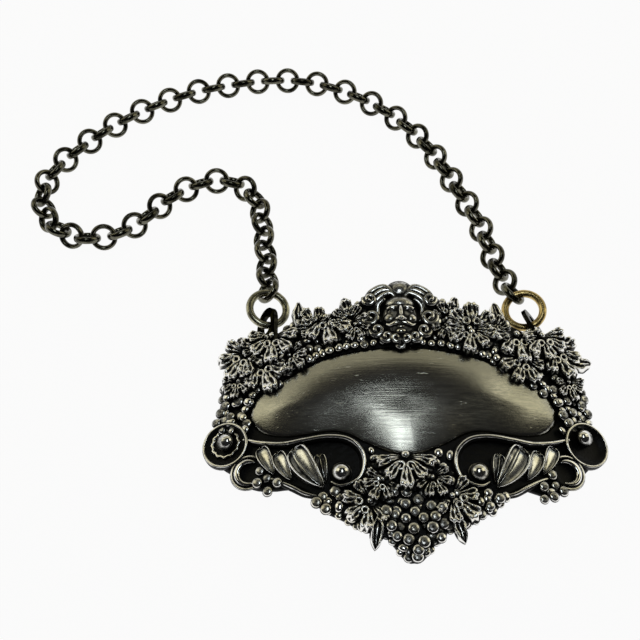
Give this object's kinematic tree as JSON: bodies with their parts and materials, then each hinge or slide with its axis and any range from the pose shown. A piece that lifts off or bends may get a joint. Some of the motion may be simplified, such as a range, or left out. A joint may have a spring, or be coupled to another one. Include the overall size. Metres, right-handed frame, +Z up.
{
  "type": "wine label",
  "caption": "Curved cast decanter label with a bare name plaque, a border of vine leaves, grapes and scrolls, and a linked chain loop to hang it round a bottle's neck.",
  "frame": {"origin": "on the table under the middle of the label, which lies on its back", "axes": "+X across the label to the viewer's right, +Y towards its top edge and the chain, +Z up, out of the label's face"},
  "size_m": [0.0988, 0.0977, 0.0111],
  "materials": {
    "dark_ground": "silver-plated, blackened ground",
    "oxidised_silver": "antiqued silver plate, dark in the hollows and bright on the high points",
    "brushed_silver": "brushed silver plate",
    "dark_silver": "tarnished silver plate",
    "worn_brass": "brass with the plating worn off",
    "dark_chain": "oxidised silver plate"
  },
  "bodies": {
    "label": {"label_plate": "dark_ground", "name_plaque": "brushed_silver", "mask": "oxidised_silver", "left_leaves": "oxidised_silver", "right_leaves": "oxidised_silver", "bottom_leaves": "oxidised_silver", "left_grapes": "oxidised_silver", "right_grapes": "oxidised_silver", "bottom_grapes": "oxidised_silver", "left_scroll": "oxidised_silver", "right_scroll": "oxidised_silver", "left_volutes": "oxidised_silver", "right_volutes": "oxidised_silver", "left_lug": "dark_ground", "right_lug": "dark_ground"},
    "left_ring": {"left_ring": "dark_silver"},
    "link_pair_01": {"link_pair_01": "dark_chain"},
    "link_pair_02": {"link_pair_02": "dark_chain"},
    "link_pair_03": {"link_pair_03": "dark_chain"},
    "link_pair_04": {"link_pair_04": "dark_chain"},
    "link_pair_05": {"link_pair_05": "dark_chain"},
    "link_pair_06": {"link_pair_06": "dark_chain"},
    "link_pair_07": {"link_pair_07": "dark_chain"},
    "link_pair_08": {"link_pair_08": "dark_chain"},
    "link_pair_09": {"link_pair_09": "dark_chain"},
    "link_pair_10": {"link_pair_10": "dark_chain"},
    "link_pair_11": {"link_pair_11": "dark_chain"},
    "link_pair_12": {"link_pair_12": "dark_chain"},
    "link_pair_13": {"link_pair_13": "dark_chain"},
    "link_pair_14": {"link_pair_14": "dark_chain"},
    "link_pair_15": {"link_pair_15": "dark_chain"},
    "link_pair_16": {"link_pair_16": "dark_chain"},
    "link_pair_17": {"link_pair_17": "dark_chain"},
    "link_pair_18": {"link_pair_18": "dark_chain"},
    "link_pair_19": {"link_pair_19": "dark_chain"},
    "link_pair_20": {"link_pair_20": "dark_chain"},
    "link_pair_21": {"link_pair_21": "dark_chain"},
    "link_pair_22": {"link_pair_22": "dark_chain"},
    "link_pair_23": {"link_pair_23": "dark_chain"},
    "link_pair_24": {"link_pair_24": "dark_chain"},
    "link_pair_25": {"link_pair_25": "dark_chain"},
    "link_pair_26": {"link_pair_26": "dark_chain"},
    "link_pair_27": {"link_pair_27": "dark_chain"},
    "link_pair_28": {"link_pair_28": "dark_chain"},
    "link_pair_29": {"link_pair_29": "dark_chain"},
    "link_pair_30": {"link_pair_30": "dark_chain"},
    "link_pair_31": {"link_pair_31": "dark_chain"},
    "link_pair_32": {"link_pair_32": "dark_chain"},
    "link_pair_33": {"link_pair_33": "dark_chain"},
    "end_link": {"end_link": "dark_chain"},
    "right_ring": {"right_ring": "worn_brass"}
  },
  "joints": [
    {"name": "chain_swing", "type": "hinge", "parent": "label", "child": "left_ring", "pos_m": [-0.0222, 0.01804, 0.00386], "axis": [1, 0, 0], "range_deg": [-30, 95]},
    {"name": "right_ring_swing", "type": "hinge", "parent": "label", "child": "right_ring", "pos_m": [0.0222, 0.01804, 0.00386], "axis": [1, 0, 0], "range_deg": [-30, 95]},
    {"name": "chain_bend", "type": "hinge", "parent": "left_ring", "child": "link_pair_20", "pos_m": [0.02115, 0.00725, 0.002], "axis": [0, 0, 1], "range_deg": [-5.1, 5.1]},
    {"name": "link_pair_01_bend", "type": "hinge", "parent": "left_ring", "child": "link_pair_01", "pos_m": [-0.02216, 0.02351, 0.002], "axis": [0, 0, 1], "range_deg": [-1.6, 1.6]},
    {"name": "link_pair_02_bend", "type": "hinge", "parent": "left_ring", "child": "link_pair_02", "pos_m": [-0.02263, 0.03342, 0.002], "axis": [0, 0, 1], "range_deg": [-2.1, 2.1]},
    {"name": "link_pair_03_bend", "type": "hinge", "parent": "left_ring", "child": "link_pair_03", "pos_m": [-0.02317, 0.03484, 0.002], "axis": [0, 0, 1], "range_deg": [-15, 15]},
    {"name": "link_pair_04_bend", "type": "hinge", "parent": "left_ring", "child": "link_pair_04", "pos_m": [-0.02313, 0.03468, 0.002], "axis": [0, 0, 1], "range_deg": [-14.6, 14.6]},
    {"name": "link_pair_05_bend", "type": "hinge", "parent": "left_ring", "child": "link_pair_05", "pos_m": [-0.02296, 0.03406, 0.002], "axis": [0, 0, 1], "range_deg": [-13.9, 13.9]},
    {"name": "link_pair_06_bend", "type": "hinge", "parent": "left_ring", "child": "link_pair_06", "pos_m": [-0.02249, 0.03319, 0.002], "axis": [0, 0, 1], "range_deg": [-13.1, 13.1]},
    {"name": "link_pair_07_bend", "type": "hinge", "parent": "left_ring", "child": "link_pair_07", "pos_m": [-0.02158, 0.03225, 0.002], "axis": [0, 0, 1], "range_deg": [-12.3, 12.3]},
    {"name": "link_pair_08_bend", "type": "hinge", "parent": "left_ring", "child": "link_pair_08", "pos_m": [-0.02019, 0.03139, 0.002], "axis": [0, 0, 1], "range_deg": [-11.6, 11.6]},
    {"name": "link_pair_09_bend", "type": "hinge", "parent": "left_ring", "child": "link_pair_09", "pos_m": [-0.01832, 0.03075, 0.002], "axis": [0, 0, 1], "range_deg": [-10.8, 10.8]},
    {"name": "link_pair_10_bend", "type": "hinge", "parent": "left_ring", "child": "link_pair_10", "pos_m": [-0.01603, 0.0303, 0.002], "axis": [0, 0, 1], "range_deg": [-10.1, 10.1]},
    {"name": "link_pair_11_bend", "type": "hinge", "parent": "left_ring", "child": "link_pair_11", "pos_m": [-0.01335, 0.02989, 0.002], "axis": [0, 0, 1], "range_deg": [-9.4, 9.4]},
    {"name": "link_pair_12_bend", "type": "hinge", "parent": "left_ring", "child": "link_pair_12", "pos_m": [-0.01032, 0.0293, 0.002], "axis": [0, 0, 1], "range_deg": [-8.9, 8.9]},
    {"name": "link_pair_13_bend", "type": "hinge", "parent": "left_ring", "child": "link_pair_13", "pos_m": [-0.00698, 0.02836, 0.002], "axis": [0, 0, 1], "range_deg": [-8.4, 8.4]},
    {"name": "link_pair_14_bend", "type": "hinge", "parent": "left_ring", "child": "link_pair_14", "pos_m": [-0.00339, 0.02697, 0.002], "axis": [0, 0, 1], "range_deg": [-7.9, 7.9]},
    {"name": "link_pair_15_bend", "type": "hinge", "parent": "left_ring", "child": "link_pair_15", "pos_m": [0.0004, 0.02509, 0.002], "axis": [0, 0, 1], "range_deg": [-7.4, 7.4]},
    {"name": "link_pair_16_bend", "type": "hinge", "parent": "left_ring", "child": "link_pair_16", "pos_m": [0.00437, 0.02268, 0.002], "axis": [0, 0, 1], "range_deg": [-6.9, 6.9]},
    {"name": "link_pair_17_bend", "type": "hinge", "parent": "left_ring", "child": "link_pair_17", "pos_m": [0.00849, 0.0197, 0.002], "axis": [0, 0, 1], "range_deg": [-6.5, 6.5]},
    {"name": "link_pair_18_bend", "type": "hinge", "parent": "left_ring", "child": "link_pair_18", "pos_m": [0.0127, 0.01612, 0.002], "axis": [0, 0, 1], "range_deg": [-6, 6]},
    {"name": "link_pair_19_bend", "type": "hinge", "parent": "left_ring", "child": "link_pair_19", "pos_m": [0.01695, 0.01195, 0.002], "axis": [0, 0, 1], "range_deg": [-5.6, 5.6]},
    {"name": "link_pair_21_bend", "type": "hinge", "parent": "left_ring", "child": "link_pair_21", "pos_m": [0.02515, 0.00215, 0.002], "axis": [0, 0, 1], "range_deg": [-4.8, 4.8]},
    {"name": "link_pair_22_bend", "type": "hinge", "parent": "left_ring", "child": "link_pair_22", "pos_m": [0.02873, -0.003, 0.002], "axis": [0, 0, 1], "range_deg": [-4.5, 4.5]},
    {"name": "link_pair_23_bend", "type": "hinge", "parent": "left_ring", "child": "link_pair_23", "pos_m": [0.03139, -0.0073, 0.002], "axis": [0, 0, 1], "range_deg": [-4.2, 4.2]},
    {"name": "link_pair_24_bend", "type": "hinge", "parent": "left_ring", "child": "link_pair_24", "pos_m": [0.03115, -0.00671, 0.002], "axis": [0, 0, 1], "range_deg": [-4.3, 4.3]},
    {"name": "link_pair_25_bend", "type": "hinge", "parent": "left_ring", "child": "link_pair_25", "pos_m": [0.02891, -0.00217, 0.002], "axis": [0, 0, 1], "range_deg": [-4.5, 4.5]},
    {"name": "link_pair_26_bend", "type": "hinge", "parent": "left_ring", "child": "link_pair_26", "pos_m": [0.02677, 0.00261, 0.002], "axis": [0, 0, 1], "range_deg": [-4.9, 4.9]},
    {"name": "link_pair_27_bend", "type": "hinge", "parent": "left_ring", "child": "link_pair_27", "pos_m": [0.02497, 0.00709, 0.002], "axis": [0, 0, 1], "range_deg": [-5.3, 5.3]},
    {"name": "link_pair_28_bend", "type": "hinge", "parent": "left_ring", "child": "link_pair_28", "pos_m": [0.02353, 0.01103, 0.002], "axis": [0, 0, 1], "range_deg": [-5.7, 5.7]},
    {"name": "link_pair_29_bend", "type": "hinge", "parent": "left_ring", "child": "link_pair_29", "pos_m": [0.02241, 0.01436, 0.002], "axis": [0, 0, 1], "range_deg": [-6.2, 6.2]},
    {"name": "link_pair_30_bend", "type": "hinge", "parent": "left_ring", "child": "link_pair_30", "pos_m": [0.02154, 0.01708, 0.002], "axis": [0, 0, 1], "range_deg": [-6.7, 6.7]},
    {"name": "link_pair_31_bend", "type": "hinge", "parent": "left_ring", "child": "link_pair_31", "pos_m": [0.02089, 0.01935, 0.002], "axis": [0, 0, 1], "range_deg": [-7.3, 7.3]},
    {"name": "link_pair_32_bend", "type": "hinge", "parent": "left_ring", "child": "link_pair_32", "pos_m": [0.02041, 0.02113, 0.002], "axis": [0, 0, 1], "range_deg": [-8.1, 8.1]},
    {"name": "link_pair_33_bend", "type": "hinge", "parent": "left_ring", "child": "link_pair_33", "pos_m": [0.02006, 0.02233, 0.002], "axis": [0, 0, 1], "range_deg": [-9.2, 9.2]},
    {"name": "end_link_bend", "type": "hinge", "parent": "left_ring", "child": "end_link", "pos_m": [0.01989, 0.023, 0.002], "axis": [0, 0, 1], "range_deg": [-6.1, 6.1]}
  ],
  "couplings": [
    {"joint": "right_ring_swing", "follows": "chain_swing", "ratio": 1},
    {"joint": "link_pair_01_bend", "follows": "chain_bend", "ratio": -0.293},
    {"joint": "link_pair_02_bend", "follows": "chain_bend", "ratio": 0.3958},
    {"joint": "link_pair_03_bend", "follows": "chain_bend", "ratio": 2.9242},
    {"joint": "link_pair_04_bend", "follows": "chain_bend", "ratio": 2.8493},
    {"joint": "link_pair_05_bend", "follows": "chain_bend", "ratio": 2.7051},
    {"joint": "link_pair_06_bend", "follows": "chain_bend", "ratio": 2.5591},
    {"joint": "link_pair_07_bend", "follows": "chain_bend", "ratio": 2.4067},
    {"joint": "link_pair_08_bend", "follows": "chain_bend", "ratio": 2.2516},
    {"joint": "link_pair_09_bend", "follows": "chain_bend", "ratio": 2.0986},
    {"joint": "link_pair_10_bend", "follows": "chain_bend", "ratio": 1.9604},
    {"joint": "link_pair_11_bend", "follows": "chain_bend", "ratio": 1.8389},
    {"joint": "link_pair_12_bend", "follows": "chain_bend", "ratio": 1.7306},
    {"joint": "link_pair_13_bend", "follows": "chain_bend", "ratio": 1.63},
    {"joint": "link_pair_14_bend", "follows": "chain_bend", "ratio": 1.5332},
    {"joint": "link_pair_15_bend", "follows": "chain_bend", "ratio": 1.4378},
    {"joint": "link_pair_16_bend", "follows": "chain_bend", "ratio": 1.3438},
    {"joint": "link_pair_17_bend", "follows": "chain_bend", "ratio": 1.2521},
    {"joint": "link_pair_18_bend", "follows": "chain_bend", "ratio": 1.1635},
    {"joint": "link_pair_19_bend", "follows": "chain_bend", "ratio": 1.0791},
    {"joint": "link_pair_21_bend", "follows": "chain_bend", "ratio": 0.9278},
    {"joint": "link_pair_22_bend", "follows": "chain_bend", "ratio": 0.8656},
    {"joint": "link_pair_23_bend", "follows": "chain_bend", "ratio": 0.8195},
    {"joint": "link_pair_24_bend", "follows": "chain_bend", "ratio": 0.8252},
    {"joint": "link_pair_25_bend", "follows": "chain_bend", "ratio": 0.8768},
    {"joint": "link_pair_26_bend", "follows": "chain_bend", "ratio": 0.9417},
    {"joint": "link_pair_27_bend", "follows": "chain_bend", "ratio": 1.0168},
    {"joint": "link_pair_28_bend", "follows": "chain_bend", "ratio": 1.101},
    {"joint": "link_pair_29_bend", "follows": "chain_bend", "ratio": 1.1944},
    {"joint": "link_pair_30_bend", "follows": "chain_bend", "ratio": 1.2993},
    {"joint": "link_pair_31_bend", "follows": "chain_bend", "ratio": 1.4254},
    {"joint": "link_pair_32_bend", "follows": "chain_bend", "ratio": 1.5842},
    {"joint": "link_pair_33_bend", "follows": "chain_bend", "ratio": 1.7965},
    {"joint": "end_link_bend", "follows": "chain_bend", "ratio": 1.1764}
  ]
}
